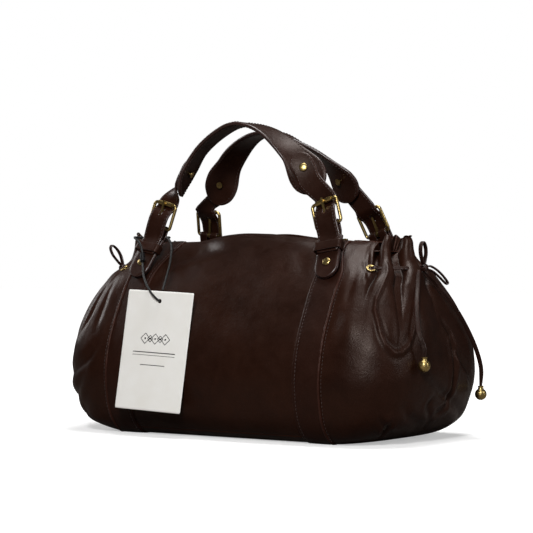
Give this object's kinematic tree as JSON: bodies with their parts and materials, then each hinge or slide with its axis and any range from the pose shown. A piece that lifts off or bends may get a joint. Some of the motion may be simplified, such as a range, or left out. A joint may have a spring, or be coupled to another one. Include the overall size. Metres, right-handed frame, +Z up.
{
  "type": "leather satchel handbag",
  "caption": "Slouchy leather satchel with drawstring-gathered ends, raised welted seams, a zipped top and buckled carrying handles with brass hardware and a blank hang tag.",
  "frame": {"origin": "middle of the base, on the floor", "axes": "+X along the length towards the bag's right-hand end as seen from the front, -Y out of the front panel, +Z up"},
  "size_m": [0.453, 0.2314, 0.3234],
  "materials": {
    "body_leather": "smooth dark brown hide, semi-gloss",
    "strap_leather": "dark brown strap leather with painted edges",
    "cord_leather": "flat dark brown lace",
    "lining_fabric": "plain woven cotton",
    "zip_tape": "woven tape",
    "antique_brass": "antiqued, brushed on the high spots",
    "card": "matt off-white card",
    "string": "waxed black cord",
    "sleeve_plastic": "gloss black tube"
  },
  "bodies": {
    "root": {"front_panel": "body_leather", "rear_panel": "body_leather", "base_panel": "body_leather", "left_end_panel": "body_leather", "right_end_panel": "body_leather", "left_body_band": "body_leather", "right_body_band": "body_leather", "seam_welts": "body_leather", "lining": "lining_fabric", "front_zip_facing": "body_leather", "rear_zip_facing": "body_leather", "zip_tapes": "zip_tape", "zip_teeth": "antique_brass", "zip_end_stops": "antique_brass", "front_anchor_tabs": "strap_leather", "rear_anchor_tabs": "strap_leather", "keeper_loops": "strap_leather", "tab_rivets": "antique_brass", "strap_tails": "strap_leather", "left_eyelets": "antique_brass", "right_eyelets": "antique_brass", "left_drawcord": "cord_leather", "right_drawcord": "cord_leather", "tag_string": "string", "tag_sleeve": "sleeve_plastic"},
    "front_handle": {"front_handle": "strap_leather", "front_buckle_straps": "strap_leather", "front_chapes": "strap_leather", "front_handle_rivets": "antique_brass", "front_left_buckle": "antique_brass", "front_right_buckle": "antique_brass"},
    "rear_handle": {"rear_handle": "strap_leather", "rear_buckle_straps": "strap_leather", "rear_chapes": "strap_leather", "rear_handle_rivets": "antique_brass", "rear_left_buckle": "antique_brass", "rear_right_buckle": "antique_brass"},
    "zip_slider": {"zip_slider": "antique_brass"},
    "zip_pull": {"zip_pull": "antique_brass"},
    "front_left_prong": {"front_left_prong": "antique_brass"},
    "front_left_roller": {"front_left_roller": "antique_brass"},
    "front_right_prong": {"front_right_prong": "antique_brass"},
    "front_right_roller": {"front_right_roller": "antique_brass"},
    "rear_left_prong": {"rear_left_prong": "antique_brass"},
    "rear_left_roller": {"rear_left_roller": "antique_brass"},
    "rear_right_prong": {"rear_right_prong": "antique_brass"},
    "rear_right_roller": {"rear_right_roller": "antique_brass"},
    "left_front_cord_tail": {"left_front_cord_tail": "cord_leather", "left_front_bead": "antique_brass"},
    "left_rear_cord_tail": {"left_rear_cord_tail": "cord_leather", "left_rear_bead": "antique_brass"},
    "right_front_cord_tail": {"right_front_cord_tail": "cord_leather", "right_front_bead": "antique_brass"},
    "right_rear_cord_tail": {"right_rear_cord_tail": "cord_leather", "right_rear_bead": "antique_brass"},
    "hang_tag": {"hang_tag": "card"}
  },
  "joints": [
    {"name": "front_handle_swing", "type": "hinge", "parent": "root", "child": "front_handle", "pos_m": [0, -0.0542, 0.204], "axis": [1, 0, 0], "range_deg": [-4, 85]},
    {"name": "rear_handle_swing", "type": "hinge", "parent": "root", "child": "rear_handle", "pos_m": [0, 0.0552, 0.197], "axis": [-1, 0, 0], "range_deg": [0, 85]},
    {"name": "zip_slide", "type": "slide", "parent": "root", "child": "zip_slider", "axis": [-1, 0, 0], "range_m": [0, 0.186]},
    {"name": "zip_pull_flip", "type": "hinge", "parent": "zip_slider", "child": "zip_pull", "pos_m": [0.0947, 0, 0.2005], "axis": [0, 1, 0], "range_deg": [0, 160]},
    {"name": "front_left_prong_lift", "type": "hinge", "parent": "front_handle", "child": "front_left_prong", "pos_m": [-0.11001, -0.04614, 0.21453], "axis": [0.972, -0.0408, -0.2316], "range_deg": [0, 12]},
    {"name": "front_left_roller_spin", "type": "hinge", "parent": "front_handle", "child": "front_left_roller", "pos_m": [-0.10378, -0.04167, 0.23989], "axis": [0.972, -0.0408, -0.2316], "continuous": true},
    {"name": "front_right_prong_lift", "type": "hinge", "parent": "front_handle", "child": "front_right_prong", "pos_m": [0.10557, -0.04621, 0.21415], "axis": [0.9373, 0.0605, 0.3433], "range_deg": [0, 12]},
    {"name": "front_right_roller_spin", "type": "hinge", "parent": "front_handle", "child": "front_right_roller", "pos_m": [0.09633, -0.0419, 0.23861], "axis": [0.9373, 0.0605, 0.3433], "continuous": true},
    {"name": "rear_left_prong_lift", "type": "hinge", "parent": "rear_handle", "child": "rear_left_prong", "pos_m": [-0.11164, 0.04653, 0.20768], "axis": [-0.9962, -0.0196, 0.0849], "range_deg": [0, 12]},
    {"name": "rear_left_roller_spin", "type": "hinge", "parent": "rear_handle", "child": "rear_left_roller", "pos_m": [-0.10933, 0.0406, 0.2334], "axis": [-0.9962, -0.0196, 0.0849], "continuous": true},
    {"name": "rear_right_prong_lift", "type": "hinge", "parent": "rear_handle", "child": "rear_right_prong", "pos_m": [0.10557, 0.04668, 0.20705], "axis": [-0.9373, 0.0784, -0.3396], "range_deg": [0, 12]},
    {"name": "rear_right_roller_spin", "type": "hinge", "parent": "rear_handle", "child": "rear_right_roller", "pos_m": [0.09633, 0.04109, 0.23125], "axis": [-0.9373, 0.0784, -0.3396], "continuous": true},
    {"name": "left_front_cord_swing", "type": "hinge", "parent": "root", "child": "left_front_cord_tail", "pos_m": [-0.19, -0.012, 0.165], "axis": [-0.243, 0.97, 0], "range_deg": [0, 28]},
    {"name": "left_rear_cord_swing", "type": "hinge", "parent": "root", "child": "left_rear_cord_tail", "pos_m": [-0.191, -0.002, 0.165], "axis": [0.3676, 0.93, 0], "range_deg": [0, 28]},
    {"name": "right_front_cord_swing", "type": "hinge", "parent": "root", "child": "right_front_cord_tail", "pos_m": [0.1895, -0.0145, 0.166], "axis": [-0.4359, -0.9, 0], "range_deg": [0, 28]},
    {"name": "right_rear_cord_swing", "type": "hinge", "parent": "root", "child": "right_rear_cord_tail", "pos_m": [0.1905, -0.001, 0.165], "axis": [0.4359, -0.9, 0], "range_deg": [0, 15]},
    {"name": "tag_swing", "type": "hinge", "parent": "root", "child": "hang_tag", "pos_m": [-0.064, -0.1024, 0.138], "axis": [0.0689, -0.9858, 0.153], "range_deg": [-6, 6]}
  ]
}
